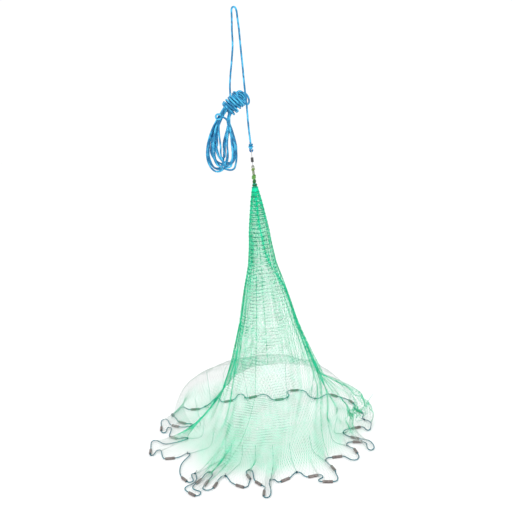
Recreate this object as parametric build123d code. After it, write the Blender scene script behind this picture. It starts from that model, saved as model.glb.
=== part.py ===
"""Hand-thrown cast net, hung up by the loop of its hand rope, with its leaded skirt spread under it.

Millimetres, +Z up.  The origin is the underside of the rope's bend, where a hook carries it.
+X is to the right and +Y to the back, seen from the front of the hung net.
"""
from build123d import *
from math import atan2, cos, degrees, floor, hypot, pi, radians, sin, tan
import os

# ---- driving dimensions ------------------------------------------------------------------------
ROPE_DIAMETER = 6.0           # braided hand rope
AXIS_X = 11.0                 # the net hangs a little to the right of the hook
FLOOR_Z = -1355.0             # level of the surface that the skirt lies on

EYE_ROPE_DIAMETER = 5.0       # the hand rope, squeezed where it passes through the wire eye
EYE_ARC = 3.8                 # centreline radius of the wire eyes and of the rope in them
UPPER_EYE_Z = -434.0          # centre of the rope's section, about which the upper eye swings
ROPE_KNOT_TOP_Z = -408.0
ROPE_KNOT_BOTTOM_Z = -427.5
ROPE_KNOT_RADIUS = 8.4

WIRE_DIAMETER = 1.8           # stainless wire of the swivel's eyes
SHANK_DIAMETER = 2.2
HEAD_DIAMETER = 5.2           # upset head that keeps each shank in the barrel
HEAD_THICKNESS = 1.8
RUNNING_CLEARANCE = 0.06      # radial, shank in the barrel's end hole
HEAD_GAP = 0.15               # along the axis, head under the barrel's end wall
BARREL_TOP_Z = -452.0
BARREL_LENGTH = 15.0
BARREL_DIAMETER = 8.8
BARREL_WALL = 1.3
BARREL_ROUNDING = 1.6
UPPER_EYE_LENGTH = 12.0       # between the centres of the eye's two arcs
LOWER_EYE_LENGTH = 4.0
EYE_TO_BARREL = 6.0           # from an eye's nearer arc centre to the barrel's end

TWINE_DIAMETER = 3.0          # olive crown twine
TWINE_ARC = 2.9               # centreline radius of the twine round the lower eye's wire
CROWN_KNOT_RADIUS = 6.4
BALL_KNOT_RADIUS = 7.4
LOWER_KNOT_RADIUS = 6.4
KNOT_FLAT = 3.6               # radius of the flat where two knots meet
CROWN_KNOT_TOP_Z = -485.5
CROWN_KNOT_BOTTOM_Z = -494.0
STRANDS_BOTTOM_Z = -506.0
STRAND_DIAMETER = 3.2
STRAND_SPREAD = 1.9
BALL_KNOT_BOTTOM_Z = -521.0
LOWER_KNOT_BOTTOM_Z = -534.0
WHIPPING_RADIUS = 8.3
WHIPPING_LENGTH = 10.0
NECK_RADIUS = 6.6             # netting gathered inside the whipping

NET_WALL = 1.6                # netting with its folds, as one closed skin
GORES = 6
GORE_STRIPS = 4               # flat strips across one gore
FOOT_STEPS = 6                # stations down the flare
HEM_Z = 10.4                  # middle of the skin at the hem, above the floor
SEAM_DIAMETER = 1.4           # lacing twine along each seam

LINE_DIAMETER = 3.0           # lead line
SINKER_LENGTH = 30.0
SINKER_DIAMETER = 8.4
SINKER_BORE = 3.4
SINKER_MARGIN = 4.0           # straight line past each end of a sinker
LASHING_DIAMETER = 5.4
LASHING_LENGTH = 5.0
LASHING_TIE = 1.6
TUCK_DIAMETER = 1.2
TUCK_RISE = 0.6               # where a tuck line meets the skin, as a share of the flare

# ---- outlines ----------------------------------------------------------------------------------
# the hung cone: radius, height above the floor, from the neck down to where the flare begins
CONE_OUTLINE = [
    (9, 809), (18, 766), (26, 716), (32, 672), (36, 628), (45, 562),
    (61, 500), (73, 452), (91, 372), (106, 322), (130, 246), (155, 170),
]
# every 15 degrees from +X round to the back: reach of the hem
HEM_REACH = [
    275, 275, 288, 290, 265, 260, 252, 296, 318, 345, 375, 308,
    325, 330, 325, 385, 368, 330, 362, 345, 310, 285, 240, 255,
]
# every 30 degrees from +X round to the back: the flare's two shaping points between the foot of
# the cone and the hem, each as radius and height.  High ones make the skirt billow.
SHOULDER = [
    (240, 130), (215, 120), (235, 170), (240, 185), (245, 190), (235, 180),
    (200, 125), (190, 112), (190, 112), (190, 112), (190, 112), (200, 115),
]
BELLY = [
    (420, 95), (320, 90), (345, 150), (380, 180), (420, 185), (400, 160),
    (240, 40), (215, 18), (240, 16), (230, 16), (190, 18), (200, 30),
]

# the hand rope from its knot, up over the hook and down into the hank: x, y, z
ROPE_ROUTE = [
    (11, 0, -408), (9, 2, -352), (11, 1, -292), (9, -1, -228), (10, -1, -166), (9, 1, -108),
    (10, 1, -64), (8.5, 0, -30), (7.5, 0, 3), (-7.5, 0, 3), (-8, 0, -28), (-12, 1, -62),
    (-13, 1, -104), (-20, 2, -146), (-28, 4, -186), (-35, 10, -224), (-37, 20, -262),
]
HANK_HEAD = ((-54, 24, -304), (0, 33, -261))      # ends of the wrapped bundle's axis
HANK_HEAD_RADIUS = 28.0
HANK_LOOPS_THICKNESS = 38.0
HANK_LOOPS_Y = 24.0
HANK_ROUNDING = 11.0
# outline of the hanging loops, from the left of the neck round the bottom to its right: x, z
HANK_OUTLINE = [
    (-70, -300), (-97, -356), (-127, -408), (-133, -430), (-127, -460), (-114, -481), (-97, -490),
    (-66, -490), (-47, -480), (-36, -452), (-32, -420), (-33, -372), (-24, -312),
]
TAIL_EYE_CENTRE = (-80, 8, -318)
TAIL_EYE_RADIUS = 8.0

# the lead line, from its joining knot round the left, front, right and back, measured from the
# net's axis.  Two numbers are a bend; three are a sinker's middle and its heading in degrees.
LEAD_ROUTE = [
    (-352, 168), (-328, 122, -39), (-300, 108), (-290, 98), (-292, 84), (-312, 80),
    (-350, 98, 143), (-374, 126), (-378, 154), (-388, 172), (-402, 166), (-404, 142),
    (-398, 88, -87), (-392, 50), (-380, 50), (-378, 72), (-378, 92), (-364, 92), (-362, 62),
    (-366, 30), (-350, 0, -38), (-322, -12), (-308, -6), (-300, -16), (-310, -28), (-332, -38),
    (-352, -44), (-370, -48), (-384, -38), (-398, -16), (-412, -4), (-422, -14), (-422, -34),
    (-418, -94, -88), (-416, -124), (-404, -124), (-402, -98), (-394, -86), (-384, -90), (-380, -112),
    (-378, -128), (-374, -148), (-350, -160, -4), (-322, -158), (-306, -144), (-296, -132),
    (-286, -140), (-292, -162), (-304, -186), (-312, -214), (-314, -244), (-312, -276),
    (-296, -318, -61), (-278, -344), (-266, -334), (-274, -306), (-276, -286), (-264, -284),
    (-260, -306), (-258, -330), (-268, -354), (-290, -366), (-291, -386),
    (-268, -418, -51), (-244, -428), (-242, -408), (-256, -398), (-268, -384), (-268, -366),
    (-252, -340, 60), (-240, -312), (-232, -290), (-220, -284), (-212, -298), (-214, -320),
    (-228, -356, -108), (-240, -386), (-232, -402), (-218, -404),
    (-202, -376, 73), (-194, -344), (-184, -322), (-172, -320), (-164, -342), (-158, -366),
    (-130, -398, -42), (-106, -404), (-104, -388), (-104, -344, 106), (-112, -306),
    (-102, -296), (-92, -306), (-90, -328), (-90, -350), (-76, -392, -58), (-56, -420),
    (-62, -456, -94), (-60, -484), (-48, -484), (-42, -462), (-42, -430), (-46, -398),
    (-42, -376), (-28, -376), (-22, -396), (2, -386, 34), (26, -358), (38, -342),
    (50, -350), (56, -370), (84, -380, 12), (110, -380), (112, -396), (98, -404), (96, -416),
    (122, -424, -12), (150, -424), (154, -404), (150, -380), (146, -342, 104), (134, -308),
    (128, -284), (136, -268), (166, -268, 4), (194, -278), (204, -300), (222, -304),
    (232, -284), (226, -240, 99), (214, -212), (204, -192), (208, -174), (240, -176, -14),
    (266, -192), (264, -214), (264, -238), (274, -248), (284, -236), (286, -208),
    (278, -174), (260, -160), (236, -144, 140), (212, -120), (204, -100), (208, -78),
    (222, -70), (250, -66, 10), (276, -72), (280, -96), (292, -96), (296, -72),
    (304, -44), (298, -20), (284, -8), (280, 10), (288, 30), (278, 68, 116), (266, 96),
    (272, 122), (262, 160, 108), (248, 190), (232, 208), (210, 236, 130), (188, 256),
    (174, 244), (158, 224), (140, 222), (126, 240), (118, 266), (116, 294), (104, 316),
    (74, 326, 172), (46, 322), (46, 304), (52, 286), (46, 264), (14, 250, 184), (-16, 262), (-22, 290),
    (-36, 314), (-52, 316), (-80, 300, 200), (-110, 302), (-112, 328), (-124, 344),
    (-138, 336), (-140, 310), (-170, 284, 196), (-200, 292), (-202, 318), (-214, 328),
    (-226, 310), (-232, 282), (-252, 254), (-288, 236, 176), (-320, 248), (-330, 270),
    (-344, 266), (-348, 242), (-360, 222),
]
LEAD_KNOT = (-366, 196)
LEAD_KNOT_RADIUS = 6.5
LEAD_ENDS = ((-364, 192), (-366, 200))     # the line's two ends, inside the knot
# bends, by their place in LEAD_ROUTE, where the line is lashed to the hem
LASHED_BENDS = (4, 23, 45, 57, 72, 82, 90, 102, 107, 121, 130, 143, 153, 157, 166, 175, 182, 193)

# ---- worked out from the above -----------------------------------------------------------------
LINE_Z = SINKER_DIAMETER / 2
BARREL_BOTTOM_Z = BARREL_TOP_Z - BARREL_LENGTH
LOWER_EYE_BOTTOM_Z = BARREL_BOTTOM_Z - EYE_TO_BARREL - LOWER_EYE_LENGTH - EYE_ARC
WHIPPING_TOP_Z = LOWER_KNOT_BOTTOM_Z
CONE_TOP = WHIPPING_TOP_Z - WHIPPING_LENGTH - 2 - FLOOR_Z     # above the floor, just under the whipping


def above_floor(x, y, height):
    """A point given from the net's axis and the floor, in the part's own frame."""
    return Vector(AXIS_X + x, y, FLOOR_Z + height)


def around(values, angle):
    """Value at an angle, eased between values given at even steps all round."""
    place = (angle % 360) * len(values) / 360
    index = int(place)
    blend = (1 - cos(pi * (place - index))) / 2
    first = values[index % len(values)]
    second = values[(index + 1) % len(values)]
    return first * (1 - blend) + second * blend


# ---- cords -------------------------------------------------------------------------------------
def corner_radii(points):
    """Largest tangent arcs that the runs on each side of every corner have room for."""
    radii = []
    for before, here, after in zip(points, points[1:], points[2:]):
        run_in = here - before
        run_out = after - here
        half_turn = radians(run_in.get_angle(run_out)) / 2
        radii.append(0.45 * min(run_in.length, run_out.length) / tan(half_turn))
    return radii


def cord_tube(points, diameter, name):
    """Round cord along straight runs joined by tangent arcs."""
    points = [Vector(*point) for point in points]
    radii = corner_radii(points)
    path = FilletPolyline(*points, radius=radii)
    start = Plane(origin=path @ 0, z_dir=path % 0)
    tube = sweep(start * Circle(diameter / 2), path=path)
    section = pi * diameter ** 2 / 4
    print(name, "length", round(path.length, 1), "least radius", round(min(radii), 1),
          "volume over section times length", round(tube.volume / section / path.length, 4))
    return tube


def knot(top_z, bottom_z, radius, flat, x=AXIS_X):
    """Round knot between two flats, so that it meets its neighbours face to face."""
    middle_z = (top_z + bottom_z) / 2
    outline = Polyline((0, bottom_z), (0, top_z), (flat, top_z)) + ThreePointArc(
        (flat, top_z), (radius, middle_z), (flat, bottom_z)) + Line((flat, bottom_z), (0, bottom_z))
    return Pos(x, 0, 0) * revolve(Plane.XZ * make_face(outline), Axis.Z)


# ---- hand rope ---------------------------------------------------------------------------------
def hand_rope():
    return cord_tube(ROPE_ROUTE, ROPE_DIAMETER, "hand_rope")


def hank_head():
    """Turns of rope wrapped round the neck of the hank, as one rounded drum."""
    start, end = (Vector(*point) for point in HANK_HEAD)
    drum = Solid.make_cylinder(HANK_HEAD_RADIUS, (end - start).length, Plane(start, z_dir=end - start))
    return fillet(drum.edges().filter_by(GeomType.CIRCLE), HANK_ROUNDING)


def hank_loops():
    """Outer shape of the rope's hanging loops, less the drum they hang from."""
    outline = Spline(*[(x, z) for x, z in HANK_OUTLINE]) + Line(HANK_OUTLINE[-1], HANK_OUTLINE[0])
    centre = Plane(origin=(0, HANK_LOOPS_Y, 0), x_dir=(1, 0, 0), z_dir=(0, -1, 0))
    slab = extrude(centre * make_face(outline), HANK_LOOPS_THICKNESS / 2, both=True)
    rims = slab.edges().filter_by(GeomType.BSPLINE)
    return fillet(rims, HANK_ROUNDING) - hank_head()


def rope_tail_eye():
    """Small eye at the rope's free end, beside the neck of the hank."""
    ring = Torus(TAIL_EYE_RADIUS, ROPE_DIAMETER / 2)
    placed = Pos(*TAIL_EYE_CENTRE) * Rot(90, 0, 0) * ring
    return placed - hank_loops()


def rope_knot():
    return knot(ROPE_KNOT_TOP_Z, ROPE_KNOT_BOTTOM_Z, ROPE_KNOT_RADIUS, EYE_ARC + EYE_ROPE_DIAMETER / 2)


def rope_eye():
    """Bight of the hand rope below its knot, through the swivel's upper eye."""
    wire_z = UPPER_EYE_Z + EYE_ARC
    path = Line((-EYE_ARC, ROPE_KNOT_BOTTOM_Z), (-EYE_ARC, wire_z)) + ThreePointArc(
        (-EYE_ARC, wire_z), (0, UPPER_EYE_Z), (EYE_ARC, wire_z)) + Line(
        (EYE_ARC, wire_z), (EYE_ARC, ROPE_KNOT_BOTTOM_Z))
    path = Pos(AXIS_X, 0, 0) * (Plane.XZ * path)
    start = Plane(origin=path @ 0, z_dir=path % 0)
    return sweep(start * Circle(EYE_ROPE_DIAMETER / 2), path=path)


# ---- swivel ------------------------------------------------------------------------------------
def wire_eye(top_centre_z, length):
    """Stadium-shaped wire loop standing in the plane x = AXIS_X."""
    bottom_centre_z = top_centre_z - length
    half = Line((EYE_ARC, bottom_centre_z), (EYE_ARC, top_centre_z)) + ThreePointArc(
        (EYE_ARC, top_centre_z), (0, top_centre_z + EYE_ARC), (-EYE_ARC, top_centre_z))
    other = Line((-EYE_ARC, top_centre_z), (-EYE_ARC, bottom_centre_z)) + ThreePointArc(
        (-EYE_ARC, bottom_centre_z), (0, bottom_centre_z - EYE_ARC), (EYE_ARC, bottom_centre_z))
    loop = []
    for curve in (half, other):
        path = Pos(AXIS_X, 0, 0) * (Plane.YZ * curve)
        start = Plane(origin=path @ 0, z_dir=path % 0)
        loop.append(sweep(start * Circle(WIRE_DIAMETER / 2), path=path))
    return loop[0] + loop[1]


def shank(from_z, to_z, head_z, head_end_z):
    """Round shank with its head inside the barrel."""
    low, high = sorted((from_z, to_z))
    rod = Cylinder(SHANK_DIAMETER / 2, high - low, align=(Align.CENTER, Align.CENTER, Align.MIN))
    head = Cylinder(HEAD_DIAMETER / 2, abs(head_end_z - head_z),
                    align=(Align.CENTER, Align.CENTER, Align.MIN))
    return Pos(AXIS_X, 0, low) * rod + Pos(AXIS_X, 0, min(head_z, head_end_z)) * head


def upper_eye():
    head_top_z = BARREL_TOP_Z - BARREL_WALL - HEAD_GAP
    eye_bottom_z = UPPER_EYE_Z - UPPER_EYE_LENGTH - EYE_ARC
    return wire_eye(UPPER_EYE_Z, UPPER_EYE_LENGTH) + shank(
        eye_bottom_z, head_top_z, head_top_z, head_top_z - HEAD_THICKNESS)


def lower_eye():
    head_bottom_z = BARREL_BOTTOM_Z + BARREL_WALL + HEAD_GAP
    top_centre_z = BARREL_BOTTOM_Z - EYE_TO_BARREL
    return wire_eye(top_centre_z, LOWER_EYE_LENGTH) + shank(
        top_centre_z + EYE_ARC, head_bottom_z, head_bottom_z, head_bottom_z + HEAD_THICKNESS)


def swivel_barrel():
    """Hollow barrel with a round hole in each end for the shanks."""
    body = Cylinder(BARREL_DIAMETER / 2, BARREL_LENGTH)
    body = fillet(body.edges().filter_by(GeomType.CIRCLE), BARREL_ROUNDING)
    cavity = Cylinder(BARREL_DIAMETER / 2 - BARREL_WALL, BARREL_LENGTH - 2 * BARREL_WALL)
    holes = Cylinder(SHANK_DIAMETER / 2 + RUNNING_CLEARANCE, BARREL_LENGTH)
    return Pos(AXIS_X, 0, (BARREL_TOP_Z + BARREL_BOTTOM_Z) / 2) * (body - cavity - holes)


# ---- crown -------------------------------------------------------------------------------------
def crown_loop():
    """Bight of the crown twine over the lower eye's wire."""
    wire_z = LOWER_EYE_BOTTOM_Z
    path = Line((-TWINE_ARC, CROWN_KNOT_TOP_Z), (-TWINE_ARC, wire_z)) + ThreePointArc(
        (-TWINE_ARC, wire_z), (0, wire_z + TWINE_ARC), (TWINE_ARC, wire_z)) + Line(
        (TWINE_ARC, wire_z), (TWINE_ARC, CROWN_KNOT_TOP_Z))
    path = Pos(AXIS_X, 0, 0) * (Plane.XZ * path)
    start = Plane(origin=path @ 0, z_dir=path % 0)
    return sweep(start * Circle(TWINE_DIAMETER / 2), path=path)


def crown_knot():
    return knot(CROWN_KNOT_TOP_Z, CROWN_KNOT_BOTTOM_Z, CROWN_KNOT_RADIUS, TWINE_ARC + TWINE_DIAMETER / 2)


def crown_strands():
    """The twine's two strands between its knots."""
    length = CROWN_KNOT_BOTTOM_Z - STRANDS_BOTTOM_Z
    strand = Cylinder(STRAND_DIAMETER / 2, length, align=(Align.CENTER, Align.CENTER, Align.MAX))
    return Compound(children=[
        Pos(AXIS_X + side * STRAND_SPREAD, 0, CROWN_KNOT_BOTTOM_Z) * strand for side in (-1, 1)])


def crown_ball_knot():
    return knot(STRANDS_BOTTOM_Z, BALL_KNOT_BOTTOM_Z, BALL_KNOT_RADIUS, KNOT_FLAT)


def crown_lower_knot():
    return knot(BALL_KNOT_BOTTOM_Z, LOWER_KNOT_BOTTOM_Z, LOWER_KNOT_RADIUS, KNOT_FLAT)


def net_neck():
    """Head meshes of the netting, gathered to a plug inside the whipping."""
    plug = Cylinder(NECK_RADIUS, WHIPPING_LENGTH, align=(Align.CENTER, Align.CENTER, Align.MAX))
    return Pos(AXIS_X, 0, WHIPPING_TOP_Z) * plug


def net_whipping():
    """Twine wound round the gathered neck, one ridge for each turn."""
    turns = round(WHIPPING_LENGTH / 2)
    pitch = WHIPPING_LENGTH / turns
    ring = Cylinder(WHIPPING_RADIUS, pitch, align=(Align.CENTER, Align.CENTER, Align.MAX))
    ring = chamfer(ring.edges().filter_by(GeomType.CIRCLE), pitch / 4)
    wound = Pos(0, 0, 0) * ring
    for turn in range(1, turns):
        wound = wound + Pos(0, 0, -turn * pitch) * ring
    hole = Cylinder(NECK_RADIUS, WHIPPING_LENGTH, align=(Align.CENTER, Align.CENTER, Align.MAX))
    return Pos(AXIS_X, 0, WHIPPING_TOP_Z) * (wound - hole)


# ---- netting -----------------------------------------------------------------------------------
def flare_point(angle, share):
    """Radius and height on the flare, from the foot of the cone (0) to the hem (1)."""
    controls = [
        CONE_OUTLINE[-1],
        [around([point[axis] for point in SHOULDER], angle) for axis in (0, 1)],
        [around([point[axis] for point in BELLY], angle) for axis in (0, 1)],
        (around(HEM_REACH, angle), HEM_Z),
    ]
    weights = [(1 - share) ** 3, 3 * share * (1 - share) ** 2, 3 * share ** 2 * (1 - share), share ** 3]
    radius = sum(weight * control[0] for weight, control in zip(weights, controls))
    height = sum(weight * control[1] for weight, control in zip(weights, controls))
    return radius, height


def cone_outline():
    """Radius and height down the hung cone, stretched so that its top meets the neck."""
    foot = CONE_OUTLINE[-1][1]
    stretch = (CONE_TOP - foot) / (CONE_OUTLINE[0][1] - foot)
    return [(radius, foot + (height - foot) * stretch) for radius, height in CONE_OUTLINE]


def meridian(angle):
    """Radius and height down the netting at one angle."""
    flare = [flare_point(angle, (step + 1) / FOOT_STEPS) for step in range(FOOT_STEPS)]
    return cone_outline() + flare


def offset_meridian(angle, offset):
    """The meridian moved out square to itself, as points in the part's frame."""
    line = meridian(angle)
    points = []
    for index, (radius, height) in enumerate(line):
        before = line[max(index - 1, 0)]
        after = line[min(index + 1, len(line) - 1)]
        along_radius = after[0] - before[0]
        along_height = after[1] - before[1]
        size = hypot(along_radius, along_height)
        moved_radius = radius - offset * along_height / size
        moved_height = height + offset * along_radius / size
        turn = radians(angle)
        points.append(above_floor(moved_radius * cos(turn), moved_radius * sin(turn), moved_height))
    return points


def grid_faces(grid, flip):
    """Two triangles for each cell of a grid of points."""
    faces = []
    for row, next_row in zip(grid, grid[1:]):
        for a, b, c, d in zip(row, row[1:], next_row[1:], next_row):
            for corners in ((a, b, c), (a, c, d)):
                ordered = corners[::-1] if flip else corners
                faces.append(Face(Wire.make_polygon(ordered)))
    return faces


def net_gore(number):
    """One gore of the netting from the neck to the hem, as a closed skin."""
    width = 360 / GORES
    first = -90 - width / 2 + number * width
    angles = [first + width * strip / GORE_STRIPS for strip in range(GORE_STRIPS + 1)]
    outer = [offset_meridian(angle, NET_WALL / 2) for angle in angles]
    inner = [offset_meridian(angle, -NET_WALL / 2) for angle in angles]
    faces = grid_faces(outer, False) + grid_faces(inner, True)
    faces += grid_faces([outer[0], inner[0]], True) + grid_faces([outer[-1], inner[-1]], False)
    for end, flip in ((0, False), (-1, True)):
        rim = [[line[end] for line in outer], [line[end] for line in inner]]
        faces += grid_faces(rim, flip)
    solid = Solid(Shell(faces))
    return solid if solid.volume > 0 else Solid(-solid.wrapped)


def seam_lacing():
    """Twine that laces neighbouring gores together, outside each seam."""
    width = 360 / GORES
    seams = []
    for number in range(GORES):
        line = offset_meridian(-90 - width / 2 + number * width, NET_WALL / 2 + SEAM_DIAMETER / 2 + 0.3)
        seams.append(cord_tube([tuple(point) for point in line[1:-1]], SEAM_DIAMETER, "seam_lacing"))
    return Compound(children=seams)


# ---- lead line ---------------------------------------------------------------------------------
def sinker_ends(x, y, heading, reach):
    along = (cos(radians(heading)), sin(radians(heading)))
    return [(x - reach * along[0], y - reach * along[1]), (x + reach * along[0], y + reach * along[1])]


def lead_points():
    """The lead line's corners, with a straight run through every sinker."""
    points = [LEAD_ENDS[0]]
    for entry in LEAD_ROUTE:
        if len(entry) == 3:
            points += sinker_ends(*entry, SINKER_LENGTH / 2 + SINKER_MARGIN)
        else:
            points.append(entry)
    points.append(LEAD_ENDS[1])
    return [above_floor(x, y, LINE_Z) for x, y in points]


def lead_radii(points):
    """Corner arcs that leave each sinker's own length straight."""
    radii = []
    sinker_run = SINKER_LENGTH + 2 * SINKER_MARGIN
    for before, here, after in zip(points, points[1:], points[2:]):
        runs = (here - before, after - here)
        half_turn = radians(runs[0].get_angle(runs[1])) / 2
        room = [SINKER_MARGIN * 0.9 if abs(run.length - sinker_run) < 1e-6 else 0.45 * run.length
                for run in runs]
        radii.append(min(room) / tan(half_turn))
    return radii


def lead_line():
    points = lead_points()
    radii = lead_radii(points)
    path = FilletPolyline(*points, radius=radii)
    start = Plane(origin=path @ 0, z_dir=path % 0)
    tube = sweep(start * Circle(LINE_DIAMETER / 2), path=path)
    section = pi * LINE_DIAMETER ** 2 / 4
    print("lead_line length", round(path.length, 1), "radii", [round(radius, 1) for radius in radii],
          "volume over section times length", round(tube.volume / section / path.length, 4))
    return tube - lead_line_knot()


def lead_line_knot():
    ball = Sphere(LEAD_KNOT_RADIUS)
    return Pos(*above_floor(*LEAD_KNOT, LEAD_KNOT_RADIUS)) * ball


def sinker(x, y, heading):
    """Tubular lead on the line."""
    tube = Cylinder(SINKER_DIAMETER / 2, SINKER_LENGTH)
    tube = chamfer(tube.edges().filter_by(GeomType.CIRCLE), 0.8) - Cylinder(SINKER_BORE / 2, SINKER_LENGTH)
    return Pos(*above_floor(x, y, LINE_Z)) * Rot(0, 0, heading) * Rot(0, 90, 0) * tube


def sinkers(side):
    """The sinkers of one quarter of the skirt, sides named by the way they face."""
    middles = {"right": 0, "back": 90, "left": 180, "front": -90}
    chosen = []
    for entry in LEAD_ROUTE:
        if len(entry) == 3:
            off = (degrees(atan2(entry[1], entry[0])) - middles[side] + 180) % 360 - 180
            if -45 <= off < 45:
                chosen.append(sinker(*entry))
    return Compound(children=chosen)


def lashed_places():
    """Middle of the line's arc, and its direction, at every lashed bend."""
    points = lead_points()
    radii = lead_radii(points)
    places = []
    for place in LASHED_BENDS:
        bend = above_floor(*LEAD_ROUTE[place][:2], LINE_Z)
        index = points.index(bend)
        into = (points[index] - points[index - 1]).normalized()
        out = (points[index + 1] - points[index]).normalized()
        half_turn = radians(into.get_angle(out)) / 2
        inward = (out - into).normalized()
        middle = bend + inward * radii[index - 1] * (1 / cos(half_turn) - 1)
        places.append((middle, (into + out).normalized()))
    return places


def hem_point(angle):
    """Point on the straight edge between the hem's two nearest corners."""
    step = 360 / GORES / GORE_STRIPS
    first = floor(angle / step) * step
    share = (angle - first) / step
    return offset_meridian(first, 0)[-1] * (1 - share) + offset_meridian(first + step, 0)[-1] * share


def rod(start, end, diameter):
    return Solid.make_cylinder(diameter / 2, (end - start).length, Plane(start, z_dir=end - start))


def hem_lashings():
    """Twine seizings that bind the hem to the lead line at its inner bends."""
    seizings = []
    for middle, along in lashed_places():
        angle = degrees(atan2(middle.Y, middle.X - AXIS_X))
        half = along * (LASHING_LENGTH / 2)
        band = rod(middle - half, middle + half, LASHING_DIAMETER)
        seizings.append(band + rod(middle, hem_point(angle), LASHING_TIE))
    return Compound(children=seizings)


def tuck_lines():
    """Slack lines from the lashed bends, inward under the skirt and up to its inside."""
    ties = []
    for middle, along in lashed_places():
        angle = degrees(atan2(middle.Y, middle.X - AXIS_X))
        across = Vector(cos(radians(angle)), sin(radians(angle)), 0)
        radius, height = flare_point(angle, TUCK_RISE)
        reach = (middle - above_floor(0, 0, LINE_Z)).length
        feet = (reach - 14, min(reach - 34, radius + 12))
        foot = [above_floor(0, 0, TUCK_DIAMETER) + across * distance for distance in feet]
        top = above_floor(0, 0, height - NET_WALL) + across * radius
        route = [middle - across * 2, *foot, top]
        ties.append(cord_tube([tuple(point) for point in route], TUCK_DIAMETER, "tuck_line"))
    return Compound(children=ties)


# ---- the nodes ---------------------------------------------------------------------------------
GORE_NAMES = ["net_gore_front", "net_gore_front_right", "net_gore_back_right",
              "net_gore_back", "net_gore_back_left", "net_gore_front_left"]

NODES = {
    "hand_rope": hand_rope, "hank_head": hank_head, "hank_loops": hank_loops,
    "rope_tail_eye": rope_tail_eye, "rope_knot": rope_knot, "rope_eye": rope_eye,
    "swivel_upper_eye": upper_eye, "swivel_barrel": swivel_barrel, "swivel_lower_eye": lower_eye,
    "crown_loop": crown_loop, "crown_knot": crown_knot, "crown_strands": crown_strands,
    "crown_ball_knot": crown_ball_knot, "crown_lower_knot": crown_lower_knot,
    "net_neck": net_neck, "net_whipping": net_whipping,
    "seam_lacing": seam_lacing, "lead_line": lead_line, "lead_line_knot": lead_line_knot,
    "hem_lashings": hem_lashings, "tuck_lines": tuck_lines,
}

os.makedirs("parts", exist_ok=True)
for name, make in NODES.items():
    export_step(make(), f"parts/{name}.step")
for number, name in enumerate(GORE_NAMES):
    export_step(net_gore(number), f"parts/{name}.step")
for side in ("front", "right", "back", "left"):
    export_step(sinkers(side), f"parts/sinkers_{side}.step")
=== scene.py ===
"""Hand-thrown cast net, hung by the loop of its hand rope, its leaded skirt spread on the floor."""
import math

import bpy
import numpy as np
from mathutils import Matrix, Vector


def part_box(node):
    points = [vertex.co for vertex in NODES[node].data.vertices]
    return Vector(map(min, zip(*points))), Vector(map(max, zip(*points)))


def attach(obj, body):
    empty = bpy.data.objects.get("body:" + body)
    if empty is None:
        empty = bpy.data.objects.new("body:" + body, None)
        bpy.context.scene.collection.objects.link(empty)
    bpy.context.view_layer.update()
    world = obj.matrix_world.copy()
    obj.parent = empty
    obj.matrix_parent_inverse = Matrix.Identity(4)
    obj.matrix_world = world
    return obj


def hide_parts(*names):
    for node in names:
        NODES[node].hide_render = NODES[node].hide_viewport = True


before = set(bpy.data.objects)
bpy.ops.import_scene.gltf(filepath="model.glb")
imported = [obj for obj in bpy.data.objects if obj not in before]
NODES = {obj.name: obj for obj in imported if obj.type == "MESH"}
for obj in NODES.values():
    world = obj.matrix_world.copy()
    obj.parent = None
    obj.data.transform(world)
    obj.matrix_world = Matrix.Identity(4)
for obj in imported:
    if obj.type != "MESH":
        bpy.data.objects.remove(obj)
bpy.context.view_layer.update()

# ---- sizes, in metres -------------------------------------
MM = 0.001
ROPE_DIAMETER = 0.006
LINE_DIAMETER = 0.003
STRAND_DIAMETER = 0.00055       # one bar of the netting
KNOT_DIAMETER = 0.0015
SEAM_DIAMETER = 0.0010
CONE_ROWS = 58                  # rows of meshes down the hung cone
FLARE_ROWS = 32                 # rows of meshes from there to the hem
CONE_SHARE = CONE_ROWS / (CONE_ROWS + FLARE_ROWS)
GORES = 6
HEM_STEPS = 900                 # even places round the lead line from which the netting hangs
ROPE_STEP = 0.0022              # spacing of the rope's cross-sections, and of the lead line's
LINE_STEP = 0.0026
KNOT_LAYERS = 2                 # layers of turns on a knot
INNER_WRAPS = (3.0, 0.0212)     # turns round the hank's head and their radius
OUTER_WRAPS = (6.4, 0.0256)
CAMERA_LENS = 63.3
CAMERA_PITCH, CAMERA_ROLL = math.radians(12.1), math.radians(5.7)
CLEAR_NYLON = (0.6, 0.6, 0.6)
# each light's name, place, size in metres and power in watts
LIGHTS = [("key", (-1.6, -2.2, 1.6), 1.6, 30), ("fill", (2.2, -1.4, 0.6), 2.0, 10)]

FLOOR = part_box("sinkers_front")[0].z
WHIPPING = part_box("net_whipping")
AXIS_X = (WHIPPING[0].x + WHIPPING[1].x) / 2
LINE_Z = (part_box("lead_line")[0].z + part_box("lead_line")[1].z) / 2

# the hand rope from its knot, over the hook and down to the hank
ROPE_ROUTE = [
    (11, 0, -408), (9, 2, -352), (11, 1, -292), (9, -1, -228), (10, -1, -166), (9, 1, -108),
    (10, 1, -64), (8.5, 0, -30), (7.5, 0, 3), (-7.5, 0, 3), (-8, 0, -28), (-12, 1, -62),
    (-13, 1, -104), (-20, 2, -146), (-28, 4, -186), (-35, 10, -224), (-37, 20, -262),
]
HANK_START = Vector((-54, 24, -304)) * MM
HANK_END = Vector((0, 33, -261)) * MM
# each hanging turn of the hank: furthest left, furthest right, lowest, and where it is lowest
HANK_TURNS = [
    (-128, -44, -484, -92), (-117, -34, -472, -66), (-124, -74, -479, -100), (-106, -35, -488, -58),
    (-97, -68, -447, -82), (-130, -62, -488, -98), (-99, -39, -464, -62), (-111, -62, -471, -87),
    (-86, -47, -477, -66),
]
TAIL_EYE = Vector((-80, 8, -318)) * MM

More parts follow.
